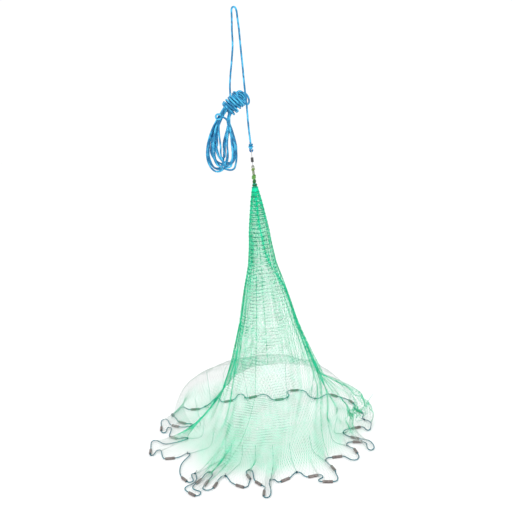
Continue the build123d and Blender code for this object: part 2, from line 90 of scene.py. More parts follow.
# the hung cone: radius and height above the floor
CONE_OUTLINE = [
    (9, 809), (18, 766), (26, 716), (32, 672), (36, 628), (45, 562),
    (61, 500), (73, 452), (91, 372), (106, 322), (130, 246), (155, 170),
]
# every 30 degrees from +X round to the back: the flare's two shaping points, radius and height
SHOULDER = [
    (240, 130), (215, 120), (235, 170), (240, 185), (245, 190), (235, 180),
    (200, 125), (190, 112), (190, 112), (190, 112), (190, 112), (200, 115),
]
BELLY = [
    (420, 95), (320, 90), (345, 150), (380, 180), (420, 185), (400, 160),
    (240, 40), (215, 18), (240, 16), (230, 16), (190, 18), (200, 30),
]

# the lead line from its knot round the left, front, right and back, from the net's axis.
# Two numbers are a bend; three are a sinker's middle and its heading in degrees.
LEAD_ROUTE = [
    (-352, 168), (-328, 122, -39), (-300, 108), (-290, 98), (-292, 84), (-312, 80),
    (-350, 98, 143), (-374, 126), (-378, 154), (-388, 172), (-402, 166), (-404, 142),
    (-398, 88, -87), (-392, 50), (-380, 50), (-378, 72), (-378, 92), (-364, 92), (-362, 62),
    (-366, 30), (-350, 0, -38), (-322, -12), (-308, -6), (-300, -16), (-310, -28), (-332, -38),
    (-352, -44), (-370, -48), (-384, -38), (-398, -16), (-412, -4), (-422, -14), (-422, -34),
    (-418, -94, -88), (-416, -124), (-404, -124), (-402, -98), (-394, -86), (-384, -90), (-380, -112),
    (-378, -128), (-374, -148), (-350, -160, -4), (-322, -158), (-306, -144), (-296, -132),
    (-286, -140), (-292, -162), (-304, -186), (-312, -214), (-314, -244), (-312, -276),
    (-296, -318, -61), (-278, -344), (-266, -334), (-274, -306), (-276, -286), (-264, -284),
    (-260, -306), (-258, -330), (-268, -354), (-290, -366), (-291, -386),
    (-268, -418, -51), (-244, -428), (-242, -408), (-256, -398), (-268, -384), (-268, -366),
    (-252, -340, 60), (-240, -312), (-232, -290), (-220, -284), (-212, -298), (-214, -320),
    (-228, -356, -108), (-240, -386), (-232, -402), (-218, -404),
    (-202, -376, 73), (-194, -344), (-184, -322), (-172, -320), (-164, -342), (-158, -366),
    (-130, -398, -42), (-106, -404), (-104, -388), (-104, -344, 106), (-112, -306),
    (-102, -296), (-92, -306), (-90, -328), (-90, -350), (-76, -392, -58), (-56, -420),
    (-62, -456, -94), (-60, -484), (-48, -484), (-42, -462), (-42, -430), (-46, -398),
    (-42, -376), (-28, -376), (-22, -396), (2, -386, 34), (26, -358), (38, -342),
    (50, -350), (56, -370), (84, -380, 12), (110, -380), (112, -396), (98, -404), (96, -416),
    (122, -424, -12), (150, -424), (154, -404), (150, -380), (146, -342, 104), (134, -308),
    (128, -284), (136, -268), (166, -268, 4), (194, -278), (204, -300), (222, -304),
    (232, -284), (226, -240, 99), (214, -212), (204, -192), (208, -174), (240, -176, -14),
    (266, -192), (264, -214), (264, -238), (274, -248), (284, -236), (286, -208),
    (278, -174), (260, -160), (236, -144, 140), (212, -120), (204, -100), (208, -78),
    (222, -70), (250, -66, 10), (276, -72), (280, -96), (292, -96), (296, -72),
    (304, -44), (298, -20), (284, -8), (280, 10), (288, 30), (278, 68, 116), (266, 96),
    (272, 122), (262, 160, 108), (248, 190), (232, 208), (210, 236, 130), (188, 256),
    (174, 244), (158, 224), (140, 222), (126, 240), (118, 266), (116, 294), (104, 316),
    (74, 326, 172), (46, 322), (46, 304), (52, 286), (46, 264), (14, 250, 184), (-16, 262), (-22, 290),
    (-36, 314), (-52, 316), (-80, 300, 200), (-110, 302), (-112, 328), (-124, 344),
    (-138, 336), (-140, 310), (-170, 284, 196), (-200, 292), (-202, 318), (-214, 328),
    (-226, 310), (-232, 282), (-252, 254), (-288, 236, 176), (-320, 248), (-330, 270),
    (-344, 266), (-348, 242), (-360, 222),
]

# ---- camera -----------------------------------------------
def make_camera():
    level = Vector((1, 0, 0))
    forward = Vector((0, math.cos(CAMERA_PITCH), -math.sin(CAMERA_PITCH)))
    upright = level.cross(forward)
    right = math.cos(CAMERA_ROLL) * level - math.sin(CAMERA_ROLL) * upright
    up = math.sin(CAMERA_ROLL) * level + math.cos(CAMERA_ROLL) * upright
    data = bpy.data.cameras.new("camera")
    data.sensor_width = 36
    data.lens = CAMERA_LENS
    data.clip_end = 60
    camera = bpy.data.objects.new("camera", data)
    turn = Matrix((right, up, -forward)).transposed().to_4x4()
    camera.matrix_world = Matrix.Translation((AXIS_X - 0.018, -2.8, FLOOR + 1.19)) @ turn
    bpy.context.collection.objects.link(camera)
    bpy.context.scene.camera = camera


# ---- meshes and curves ------------------------------------
def link(name, data):
    piece = bpy.data.objects.new(name, data)
    bpy.context.collection.objects.link(piece)
    return piece


def smooth_curve(name, points, closed=False):
    """NURBS curve of order 3, open or closed, with the points as its control points."""
    data = bpy.data.curves.new(name, "CURVE")
    data.dimensions = "3D"
    data.resolution_u = 8
    spline = data.splines.new("NURBS")
    spline.points.add(len(points) - 1)
    for place, point in zip(spline.points, points):
        place.co = (*point, 1)
    spline.use_cyclic_u = closed
    spline.order_u = 3
    spline.use_endpoint_u = not closed
    return link(name, data)


def along(curve):
    """Points along a curve with no bevel."""
    bpy.context.view_layer.update()
    depsgraph = bpy.context.evaluated_depsgraph_get()
    mesh = bpy.data.meshes.new_from_object(curve.evaluated_get(depsgraph))
    points = np.array([vertex.co for vertex in mesh.vertices], float)
    bpy.data.meshes.remove(mesh)
    return points


def spaced(points, count, closed=False):
    """The same line at even steps."""
    if closed:
        points = np.vstack([points, points[:1]])
    steps = np.linalg.norm(np.diff(points, axis=0), axis=1)
    travel = np.concatenate([[0], np.cumsum(steps)])
    wanted = np.linspace(0, travel[-1], count, endpoint=not closed)
    return np.column_stack([np.interp(wanted, travel, points[:, axis]) for axis in range(3)])


def length_of(points):
    return float(np.linalg.norm(np.diff(points, axis=0), axis=1).sum())


def tube(name, points, radius, sides=10, closed=False):
    """Tube mesh along points, with U round it and V along it in diameters."""
    points = np.asarray(points, float)
    count = len(points)
    if closed:
        run = np.roll(points, -1, 0) - np.roll(points, 1, 0)
    else:
        run = np.gradient(points, axis=0)
    run /= np.linalg.norm(run, axis=1)[:, None]
    side = np.cross(run[0], (0.3, 0.5, 0.81))
    sides_at = []
    for step in range(count):
        side = side - run[step] * side.dot(run[step])
        side /= np.linalg.norm(side)
        sides_at.append(side)
    first = np.array(sides_at)
    second = np.cross(run, first)
    turn = np.linspace(0, 2 * math.pi, sides, endpoint=False)
    radii = np.broadcast_to(np.asarray(radius, float), (count,))[:, None, None]
    ring = first[:, None] * np.cos(turn)[None, :, None] + second[:, None] * np.sin(turn)[None, :, None]
    vertices = (points[:, None] + radii * ring).reshape(-1, 3)
    travel = np.concatenate([[0], np.cumsum(np.linalg.norm(np.diff(points, axis=0), axis=1))])
    faces, uvs = [], []
    last = count if closed else count - 1
    width = 2 * float(np.mean(radius))
    total = travel[-1]
    for step in range(last):
        after = (step + 1) % count
        v_low = travel[step] / width
        v_high = (travel[after] if after else total) / width
        for spoke in range(sides):
            other = (spoke + 1) % sides
            here, there = step * sides, after * sides
            faces.append((here + spoke, here + other, there + other, there + spoke))
            low, high = spoke / sides, (spoke + 1) / sides
            uvs += [(low, v_low), (high, v_low), (high, v_high), (low, v_high)]
    if not closed:
        faces.append(tuple(range(sides))[::-1])
        faces.append(tuple(range((count - 1) * sides, count * sides)))
        uvs += [(0.5, 0)] * sides + [(0.5, total / width)] * sides
    mesh = bpy.data.meshes.new(name)
    mesh.from_pydata(vertices.tolist(), [], faces)
    layer = mesh.uv_layers.new(name="UVMap")
    layer.data.foreach_set("uv", np.array(uvs, np.float32).ravel())
    mesh.polygons.foreach_set("use_smooth", [True] * len(mesh.polygons))
    mesh.update()
    return mesh


def joined(name, meshes):
    """One mesh from several."""
    objects = [link(name, mesh) for mesh in meshes]
    with bpy.context.temp_override(active_object=objects[0], selected_editable_objects=objects):
        bpy.ops.object.join()
    return objects[0]


# ---- materials --------------------------------------------
def math_node(tree, operation, first, second=None):
    made = tree.nodes.new("ShaderNodeMath")
    made.operation = operation
    for socket, value in zip(made.inputs, (first, second)):
        if value is None:
            continue
        if isinstance(value, (int, float)):
            socket.default_value = value
        else:
            tree.links.new(value, socket)
    return made.outputs[0]


def start_group(name, inputs, outputs):
    """Empty shader group with number sockets, and its inlet and outlet."""
    group = bpy.data.node_groups.new(name, "ShaderNodeTree")
    for label, value in inputs:
        socket = group.interface.new_socket(label, in_out="INPUT", socket_type="NodeSocketFloat")
        socket.default_value = value
    for label in outputs:
        group.interface.new_socket(label, in_out="OUTPUT", socket_type="NodeSocketFloat")
    return group, group.nodes.new("NodeGroupInput"), group.nodes.new("NodeGroupOutput")


def lay_group():
    """Strands laid round a cord: reads its UV map, puts out the strands' height and a painted shade, dark in
    the grooves between strands and light on their crests.
    """
    sockets = (("Around", 4.0), ("Pitch", 1.2), ("Cross", 1.0))
    group, inlet, outlet = start_group("strand_lay", sockets, ("Height", "Shade"))
    uv = group.nodes.new("ShaderNodeUVMap")
    uv.uv_map = "UVMap"
    split = group.nodes.new("ShaderNodeSeparateXYZ")
    group.links.new(uv.outputs[0], split.inputs[0])
    round_turns = math_node(group, "MULTIPLY", split.outputs[0], inlet.outputs["Around"])
    down_turns = math_node(group, "MULTIPLY", split.outputs[1], inlet.outputs["Pitch"])
    one = math_node(group, "ADD", round_turns, down_turns)
    other = math_node(group, "SUBTRACT", round_turns, down_turns)
    waves = []
    for phase in (one, other):
        angle = math_node(group, "MULTIPLY", phase, 2 * math.pi)
        wave = math_node(group, "SINE", math_node(group, "MULTIPLY", angle, 0.5))
        waves.append(math_node(group, "ABSOLUTE", wave))
    crossed = math_node(group, "MULTIPLY", waves[1], inlet.outputs["Cross"])
    height = math_node(group, "MAXIMUM", waves[0], crossed)
    # painted shade: dark in the grooves between the strands, light on their crests
    shade = math_node(group, "POWER", height, 1.6)
    group.links.new(height, outlet.inputs["Height"])
    group.links.new(shade, outlet.inputs["Shade"])
    return group


def mottle_group():
    """Slow and fine variation over the surface."""
    sockets = (("Coarse", 30.0), ("Fine", 900.0))
    group, inlet, outlet = start_group("mottle", sockets, ("Patch", "Grain"))
    place = group.nodes.new("ShaderNodeTexCoord")
    for scale, out in (("Coarse", "Patch"), ("Fine", "Grain")):
        noise = group.nodes.new("ShaderNodeTexNoise")
        noise.inputs["Detail"].default_value = 4
        group.links.new(place.outputs["Object"], noise.inputs["Vector"])
        group.links.new(inlet.outputs[scale], noise.inputs["Scale"])
        group.links.new(noise.outputs["Fac"], outlet.inputs[out])
    return group


def painted_sides_group():
    """Painted light and shade: one side of a cord paler, as a painted highlight, and the other darker, as
    painted shade, wandering round it along its length.
    """
    group, _, outlet = start_group("cord_painted_sides", (), ("Side",))
    uv = group.nodes.new("ShaderNodeUVMap")
    uv.uv_map = "UVMap"
    split = group.nodes.new("ShaderNodeSeparateXYZ")
    group.links.new(uv.outputs[0], split.inputs[0])
    noise = group.nodes.new("ShaderNodeTexNoise")
    noise.noise_dimensions = "1D"
    noise.inputs["Scale"].default_value = 0.11
    noise.inputs["Detail"].default_value = 2
    group.links.new(split.outputs[1], noise.inputs["W"])
    angle = math_node(group, "ADD", split.outputs[0], math_node(group, "MULTIPLY", noise.outputs["Fac"], 3.0))
    # painted highlight on one side of the cord, painted shade on the other
    wave = math_node(group, "SINE", math_node(group, "MULTIPLY", angle, 2 * math.pi))
    side = math_node(group, "ADD", math_node(group, "MULTIPLY", wave, 0.5), 0.5)
    group.links.new(side, outlet.inputs["Side"])
    return group


GROUPS = {}


def use_group(tree, name, **inputs):
    if name not in GROUPS:
        GROUPS[name] = {"lay": lay_group, "mottle": mottle_group, "sides": painted_sides_group}[name]()
    made = tree.nodes.new("ShaderNodeGroup")
    made.node_tree = GROUPS[name]
    for key, value in inputs.items():
        made.inputs[key].default_value = value
    return made


def ramp(tree, factor, stops):
    made = tree.nodes.new("ShaderNodeValToRGB")
    elements = made.color_ramp.elements
    while len(elements) < len(stops):
        elements.new(0.5)
    for element, (place, color) in zip(elements, stops):
        element.position = place
        element.color = (*color, 1)
    tree.links.new(factor, made.inputs["Fac"])
    return made.outputs["Color"]


def blended(tree, factor, first, second):
    made = tree.nodes.new("ShaderNodeMix")
    made.data_type = "RGBA"
    if isinstance(factor, float):
        made.inputs["Factor"].default_value = factor
    else:
        tree.links.new(factor, made.inputs["Factor"])
    for socket, value in ((made.inputs[6], first), (made.inputs[7], second)):
        if isinstance(value, tuple):
            socket.default_value = (*value, 1)
        else:
            tree.links.new(value, socket)
    return made.outputs[2]


def start_material(name):
    material = bpy.data.materials.new(name)
    material.use_nodes = True
    tree = material.node_tree
    return material, tree, tree.nodes["Principled BSDF"]


def add_bump(tree, surface, height, distance, strength=1.0):
    bump = tree.nodes.new("ShaderNodeBump")
    bump.inputs["Strength"].default_value = strength
    bump.inputs["Distance"].default_value = distance
    tree.links.new(height, bump.inputs["Height"])
    tree.links.new(bump.outputs["Normal"], surface.inputs["Normal"])


def roughen(tree, surface, mottle, spread, least):
    """Roughness from a least value up, varied by the mottle's grain."""
    grain = math_node(tree, "MULTIPLY", mottle.outputs["Grain"], spread)
    tree.links.new(math_node(tree, "ADD", grain, least), surface.inputs["Roughness"])


def laid_cord(name, dark, middle, light, diameter, around=4.0, pitch=1.2, cross=1.0,
              roughness=0.45, painted_side_share=0.0):
    """Braided or twisted cord, with painted shade between its strands and painted highlight on their crests,
    paler and darker lengths, and painted light and shade on its sides.
    """
    material, tree, surface = start_material(name)
    lay = use_group(tree, "lay", Around=around, Pitch=pitch, Cross=cross)
    mottle = use_group(tree, "mottle", Coarse=85.0, Fine=1400.0)
    # painted shade and highlight: the strands' shade colours the grooves dark and the crests light
    strands = ramp(tree, lay.outputs["Shade"], [(0.0, dark), (0.45, middle), (1.0, light)])
    # random paler and darker patches mixed into the painted shade and highlight
    mottle_and_painted_light = blended(tree, 0.3, strands, ramp(tree, mottle.outputs["Patch"], [(0.35, dark), (0.65, light)]))
    # painted highlight on one side of the cord and painted shade on the other
    if painted_side_share:
        sides = use_group(tree, "sides")
        painted_side_colour = ramp(tree, sides.outputs["Side"], [(0.0, dark), (0.5, middle), (0.85, light)])
        mottle_and_painted_light = blended(tree, painted_side_share, mottle_and_painted_light, painted_side_colour)
    tree.links.new(mottle_and_painted_light, surface.inputs["Base Color"])
    roughen(tree, surface, mottle, 0.2, roughness - 0.1)
    surface.inputs["Specular IOR Level"].default_value = 0.25
    add_bump(tree, surface, lay.outputs["Height"], diameter * 0.12, 0.9)
    return material


def monofilament(name, dark, light, roughness=0.35):
    """Green nylon, brighter and darker from place to place, and clear where the netting is new."""
    material, tree, surface = start_material(name)
    mottle = use_group(tree, "mottle", Coarse=40.0, Fine=2400.0)
    green = ramp(tree, mottle.outputs["Patch"], [(0.3, dark), (0.7, light)])
    clear = tree.nodes.new("ShaderNodeAttribute")
    clear.attribute_name = "clear"
    tree.links.new(blended(tree, clear.outputs["Fac"], green, CLEAR_NYLON), surface.inputs["Base Color"])
    roughen(tree, surface, mottle, 0.25, roughness - 0.1)
    surface.inputs["Specular IOR Level"].default_value = 0.3
    return material


def drawn_wire():
    material, tree, surface = start_material("drawn_wire")
    mottle = use_group(tree, "mottle", Coarse=200.0, Fine=3000.0)
    grey = ramp(tree, mottle.outputs["Patch"], [(0.3, (0.34, 0.34, 0.36)), (0.7, (0.62, 0.62, 0.64))])
    tree.links.new(grey, surface.inputs["Base Color"])
    surface.inputs["Metallic"].default_value = 1.0
    roughen(tree, surface, mottle, 0.25, 0.15)
    add_bump(tree, surface, mottle.outputs["Grain"], 0.00008, 0.4)
    return material


def black_barrel():
    material, tree, surface = start_material("black_barrel")
    mottle = use_group(tree, "mottle", Coarse=260.0, Fine=2500.0)
    stops = [(0.35, (0.012, 0.012, 0.014)), (0.75, (0.06, 0.06, 0.065))]
    tree.links.new(ramp(tree, mottle.outputs["Patch"], stops), surface.inputs["Base Color"])
    roughen(tree, surface, mottle, 0.3, 0.2)
    surface.inputs["Coat Weight"].default_value = 0.4
    add_bump(tree, surface, mottle.outputs["Grain"], 0.0001, 0.4)
    return material


def dull_lead():
    """Soft grey lead, rubbed brighter in patches and dark in its dents."""
    material, tree, surface = start_material("dull_lead")
    mottle = use_group(tree, "mottle", Coarse=170.0, Fine=1200.0)
    patches = ramp(tree, mottle.outputs["Patch"],
                   [(0.3, (0.055, 0.04, 0.038)), (0.55, (0.2, 0.165, 0.155)), (0.8, (0.46, 0.42, 0.4))])
    grains = ramp(tree, mottle.outputs["Grain"], [(0.35, (0.06, 0.05, 0.05)), (0.65, (0.5, 0.46, 0.44))])
    tree.links.new(blended(tree, 0.3, patches, grains), surface.inputs["Base Color"])
    surface.inputs["Metallic"].default_value = 0.35
    roughen(tree, surface, mottle, 0.4, 0.3)
    add_bump(tree, surface, mottle.outputs["Grain"], 0.0005, 0.7)
    return material


def studio_floor():
    material, tree, surface = start_material("studio_floor")
    mottle = use_group(tree, "mottle", Coarse=0.8, Fine=40.0)
    stops = [(0.0, (0.965, 0.965, 0.965)), (1.0, (0.985, 0.985, 0.985))]
    tree.links.new(ramp(tree, mottle.outputs["Patch"], stops), surface.inputs["Base Color"])
    surface.inputs["Roughness"].default_value = 0.9
    surface.inputs["Specular IOR Level"].default_value = 0.1
    return material


MATERIALS = {}


def make_materials():
    # each cord's first colour is its painted shade and its last its painted highlight, and they also colour
    # its random patches; the blue rope and teal line also get painted light and shade on their sides
    MATERIALS["rope"] = laid_cord(
        "blue_braid", (0.0, 0.04, 0.17), (0.0, 0.21, 0.52), (0.10, 0.60, 0.88), ROPE_DIAMETER, 6.0, 1.0,
        painted_side_share=0.55)
    MATERIALS["line"] = laid_cord(
        "teal_braid", (0.0, 0.01, 0.02), (0.0, 0.055, 0.085), (0.0, 0.24, 0.31), LINE_DIAMETER, 4.0, 1.3,
        painted_side_share=0.4)
    MATERIALS["olive_twine"] = laid_cord(
        "olive_twine", (0.025, 0.05, 0.004), (0.11, 0.2, 0.03), (0.5, 0.7, 0.25), 0.002, 3.0, 0.9, 0.0)
    MATERIALS["green_twine"] = laid_cord(
        "green_twine", (0.0, 0.02, 0.007), (0.005, 0.09, 0.025), (0.05, 0.3, 0.08), 0.002, 3.0, 0.9, 0.0)
    MATERIALS["ball_twine"] = laid_cord(
        "ball_twine", (0.008, 0.045, 0.006), (0.06, 0.27, 0.03), (0.26, 0.6, 0.15), 0.002, 3.0, 0.9, 0.0)
    MATERIALS["netting"] = monofilament("netting_strands", (0.0, 0.52, 0.24), (0.0, 0.82, 0.46))
    MATERIALS["knots"] = monofilament("netting_knots", (0.0, 0.22, 0.12), (0.0, 0.46, 0.27))
    MATERIALS["seam"] = monofilament("seam_twine", (0.0, 0.4, 0.2), (0.0, 0.66, 0.36))
    MATERIALS["tuck"] = monofilament("tuck_twine", (0.16, 0.42, 0.34), (0.3, 0.62, 0.52))
    MATERIALS["wire"] = drawn_wire()
    MATERIALS["barrel"] = black_barrel()
    MATERIALS["lead"] = dull_lead()


def paint(piece, key):
    piece.data.materials.clear()
    piece.data.materials.append(MATERIALS[key])
    return piece


# ---- hand rope and its hank -------------------------------
def hank_axes():
    length = (HANK_END - HANK_START).length
    down_the_axis = (HANK_END - HANK_START) / length
    back = Vector((0, 1, 0))
    back = (back - down_the_axis * back.dot(down_the_axis)).normalized()
    left = back.cross(down_the_axis)
    if left.x > 0:
        left = -left
    return length, down_the_axis, back, left


def head_wraps(turns, radius, first, last, phase, per_turn=12):
    """Turns of the rope round the hank's head, between two places along it."""
    _, axis, back, left = hank_axes()
    points = []
    steps = int(turns * per_turn)
    for step in range(steps + 1):
        angle = 2 * math.pi * step / per_turn + phase
        place = first + (last - first) * step / steps
        place += 0.0022 * math.sin(angle + 1.1 * math.sin(0.37 * angle))
        slack = 0.0007 * math.sin(2.3 * angle) + 0.0005 * math.sin(0.61 * angle + 1)
        around = back * math.sin(angle) + left * math.cos(angle)
        points.append(HANK_START + axis * place + around * (radius + slack))
    return points


def bight(number):
    """A turn's bight in the head: how far aside it lies, how far back, its half width and its reach."""
    kinds = ((0.0032, 0.0085, -0.006), (0.0092, 0.0135, 0.0), (0.0136, 0.0185, 0.006))
    across, half, reach = kinds[number % 3]
    return across, 0.008 - 0.002 * number, half, reach


def loop_turn(number):
    """One turn: up through the head, round its bight and down, then round the hanging loop."""
    length, axis, back, left = hank_axes()
    across, layer, half, reach = bight(number)
    furthest_left, furthest_right, lowest, middle = HANK_TURNS[number]
    neck_left = -72 - 700 * (across - 0.0032)
    neck_right = -56 + 1000 * (across - 0.0032)
    depth = HANK_START.y + layer * 1.8

    def in_head(place, aside):
        return HANK_START + axis * place + back * layer + left * aside

    def hung(x, z, sway=0.0):
        return Vector((x * MM, depth + sway * MM * (1.5 if number % 3 else -1.5), z * MM))

    up = [
        in_head(0.004, -across),
        in_head(length * 0.4, -across),
        in_head(length * 0.75, -across),
        in_head(length + reach - 0.012, -half),
        in_head(length + reach, -half * 0.8),
        in_head(length + reach, half * 0.8),
        in_head(length + reach - 0.012, half),
        in_head(length * 0.75, across),
        in_head(length * 0.4, across),
        in_head(0.004, across),
    ]
    if number == 3:
        up[3:7] = [
            in_head(length - 0.014, -half * 0.7),
            Vector((0.002, 0.035, -0.280)), Vector((0.011, 0.036, -0.294)),
            Vector((0.020, 0.036, -0.286)), Vector((0.019, 0.036, -0.266)), Vector((0.005, 0.036, -0.250)),
            in_head(length - 0.014, half),
        ]
    down = [
        hung(neck_left + 0.28 * (furthest_left - neck_left), -338, 0.3),
        hung(neck_left + 0.68 * (furthest_left - neck_left), -374, -0.5),
        hung(furthest_left + 4, -411, 0.6),
        hung(furthest_left, lowest + 42, 1.0),
        hung(furthest_left * 0.72 + middle * 0.28, lowest + 14, 0.4),
        hung(middle - 9, lowest, -0.6),
        hung(middle + 9, lowest, -1.0),
        hung(furthest_right * 0.72 + middle * 0.28, lowest + 15, -0.8),
        hung(furthest_right, lowest + 45, -0.3),
        hung(furthest_right - 1, -405, 0.8),
        hung(neck_right + 0.5 * (furthest_right - neck_right), -365, 0.4),
        hung(neck_right, -336, 0.0),
    ]
    return up + down


def rope_points():
    length = (HANK_END - HANK_START).length
    points = [Vector(point) * MM for point in ROPE_ROUTE]
    points += head_wraps(*INNER_WRAPS, 0.037, length * 0.86, -0.1)
    points += head_wraps(*OUTER_WRAPS, length * 0.84, 0.004, -0.1)
    points += loop_turn(0)[9:]
    for number in range(1, len(HANK_TURNS)):
        points += loop_turn(number)
    points[-1] = Vector((-0.0500, 0.0120, -0.3500))
    points += [
        Vector((-0.0530, 0.0055, -0.3330)), Vector((-0.0610, 0.0020, -0.3215)),
        Vector((-0.0715, 0.0070, -0.3175)),
    ]
    return points


def make_hand_rope():
    curve = smooth_curve("hand_rope_line", rope_points())
    line = along(curve)
    bpy.data.objects.remove(curve)
    length = length_of(line)
    print("hand rope length", round(length, 3))
    points = spaced(line, int(length / ROPE_STEP))
    rope = link("hand_rope_braid", tube("hand_rope_braid", points, ROPE_DIAMETER / 2, 12))
    paint(rope, "rope")
    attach(rope, "rope")
    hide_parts("hand_rope", "hank_head", "hank_loops")
    return rope, points, length


def make_tail_eye():
    """Small eye at the rope's free end, with its seizing."""
    ring = []
    for step in range(40):
        angle = 2 * math.pi * step / 40
        around = Vector((math.cos(angle) * 0.008, 0.0006 * math.sin(2 * angle), math.sin(angle) * 0.008))
        ring.append(TAIL_EYE + around)
    meshes = [tube("eye", ring, ROPE_DIAMETER / 2, 14, closed=True)]
    neck = TAIL_EYE + Vector((0.0095, 0, 0.002))
    for turn in range(4):
        place = neck + Vector((0.0016 * turn, 0, 0.0008 * turn))
        wrap = []
        for step in range(18):
            angle = 2 * math.pi * step / 18
            wrap.append(place + Vector((0, math.cos(angle), math.sin(angle))) * 0.0038)
        meshes.append(tube("wrap", wrap, 0.0008, 6, closed=True))
    eye = joined("rope_tail_eye_braid", meshes)
    paint(eye, "rope")
    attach(eye, "rope")
    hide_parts("rope_tail_eye")
    return eye


# ---- knots of rope and twine ------------------------------
def knot_lines(top, bottom, radius, twine, turns, tilt):
    """Turns of twine over a round knot, each layer leaning the other way."""
    middle = Vector((AXIS_X, 0, (top + bottom) / 2))
    half = (top - bottom) / 2 - twine / 2
    lines = []
    for layer in range(KNOT_LAYERS):
        lean = tilt if layer % 2 else -tilt
        reach = radius - twine * (0.5 + 0.55 * (KNOT_LAYERS - 1 - layer))
        points = []
        steps = int(turns * 20)
        for step in range(steps + 1):
            share = step / steps
            angle = 2 * math.pi * turns * share + layer * 1.7
            height = half * 0.92 * math.cos(math.pi * share)
            width = reach * math.sqrt(max(0.12, 1 - (height / half) ** 2 * 0.72))
            height += lean * width * math.sin(angle + layer)
            height = max(-half, min(half, height))
            points.append(middle + Vector((width * math.cos(angle), width * math.sin(angle), height)))
        lines.append(points)
    return lines


def make_knot(node_name, twine, turns, tilt, key, body):
    low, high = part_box(node_name)
    radius = (high.x - low.x) / 2
    meshes = []
    for number, line in enumerate(knot_lines(high.z, low.z, radius, twine, turns, tilt)):
        curve = smooth_curve("turns", line)
        points = along(curve)
        bpy.data.objects.remove(curve)
        meshes.append(tube(f"turns_{number}", points, twine / 2, 8))
    core = []
    half = (high.z - low.z) / 2
    for step in range(13):
        height = -half + 2 * half * step / 12
        core.append(((AXIS_X, 0, (high.z + low.z) / 2 + height),
                     (radius - twine) * math.sqrt(max(0.1, 1 - (height / half) ** 2 * 0.8))))
    meshes.append(tube("core", [place for place, _ in core], [width for _, width in core], 20))
    knot = joined(node_name + "_turns", meshes)
    paint(knot, key)
    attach(knot, body)
    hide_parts(node_name)
    return knot


def make_knots():
    make_knot("rope_knot", 0.0052, 2.6, 0.35, "rope", "rope")
    make_knot("crown_knot", 0.0026, 3.0, 0.3, "olive_twine", "net")
    make_knot("crown_ball_knot", 0.0028, 4.0, 0.45, "ball_twine", "net")
    make_knot("crown_lower_knot", 0.0024, 4.5, 0.3, "green_twine", "net")
    make_knot("net_whipping", 0.0018, 5.5, 0.05, "green_twine", "net")


# ---- lead line --------------------------------------------
def lead_points():
    """The lead line's points, straight through every sinker."""
    points = [(-364, 192)]
    for entry in LEAD_ROUTE:
        if len(entry) == 3:
            heading = math.radians(entry[2])
            for reach in (-19, -6, 6, 19):
                points.append((entry[0] + reach * math.cos(heading), entry[1] + reach * math.sin(heading)))
        else:
            points.append(entry)
    points.append((-366, 200))
    return [Vector((AXIS_X + x * MM, y * MM, LINE_Z)) for x, y in points]


def make_lead_line():
    curve = smooth_curve("lead_line_way", lead_points())
    line = along(curve)
    bpy.data.objects.remove(curve)
    length = length_of(line)
    print("lead line length", round(length, 3))
    points = spaced(line, int(length / LINE_STEP))
    cord = link("lead_line_braid", tube("lead_line_braid", points, LINE_DIAMETER / 2, 8))
    paint(cord, "line")
    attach(cord, "net")
    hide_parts("lead_line")
    return cord, points, length


# ---- netting ----------------------------------------------
def round_table(values, angle):
    """Values given at even steps all round, eased between, at many angles."""
    values = np.asarray(values, float)
    place = np.mod(angle, 2 * math.pi) * len(values) / (2 * math.pi)
    index = np.floor(place).astype(int)
    share = (1 - np.cos(math.pi * (place - index))) / 2
    return values[index % len(values)] * (1 - share) + values[(index + 1) % len(values)] * share


def hem_angles(line):
    """Angle at which each place on the hem leaves the cone, eased so that meshes run down evenly."""
    angle = np.unwrap(np.arctan2(line[:, 1], line[:, 0] - AXIS_X))
    count = len(angle)
    drift = angle - np.linspace(0, 2 * math.pi, count, endpoint=False)
    window = count // 9
    wrapped = np.concatenate([drift[-window:], drift, drift[:window]])
    kernel = np.hanning(2 * window + 1)
    kernel /= kernel.sum()
    eased = np.convolve(wrapped, kernel, mode="valid")
    return eased + np.linspace(0, 2 * math.pi, count, endpoint=False)


# folds that draw the meshes together: heights from the top down, then the angle, the pull and the width there
FOLDS = [
    ((809, 690, 600, 540, 490, 300, 0), (-90, -86, -70, -45, -14, -4, -4),
     (0.7, 0.8, 0.85, 0.85, 0.9, 0.94, 0.6), (0.45, 0.45, 0.4, 0.38, 0.42, 0.5, 0.24)),
    ((809, 560, 500, 300, 0), (200, 196, 190, 184, 182),
     (0.1, 0.2, 0.85, 0.9, 0.5), (0.4, 0.4, 0.34, 0.36, 0.2)),
]
# places where the skirt is bunched up: the angle and share of the flare that are drawn in, how widely
# round and down it, how hard, and where to, from the axis and above the floor
GATHERS = [
    (183, 0.34, 17, 0.34, 0.8, (-199, -14, 122)),
    (184, 0.36, 8, 0.12, 0.88, (-199, -14, 122)),
    (-16, 0.58, 24, 0.34, 0.86, (246, -82, 60)),
    (-48, 0.50, 5, 0.14, 0.55, (142, -168, 88)),
]
CRUMPLE = (-14, 0.58, 24, 0.28)     # where the skirt is crumpled: angle, share of the flare, and how widely


def crowded(angle, height):
    """Angles drawn together at the folds of that height."""
    moved = angle.copy()
    for heights, middles, pulls, widths in FOLDS:
        heights = heights[::-1]
        middle = np.radians(np.interp(height, heights, middles[::-1]))
        pull = np.interp(height, heights, pulls[::-1])
        width = np.interp(height, heights, widths[::-1])
        off = angle - middle
        moved -= pull * np.sin(off) * np.exp((np.cos(off) - 1) / width ** 2)
    return moved


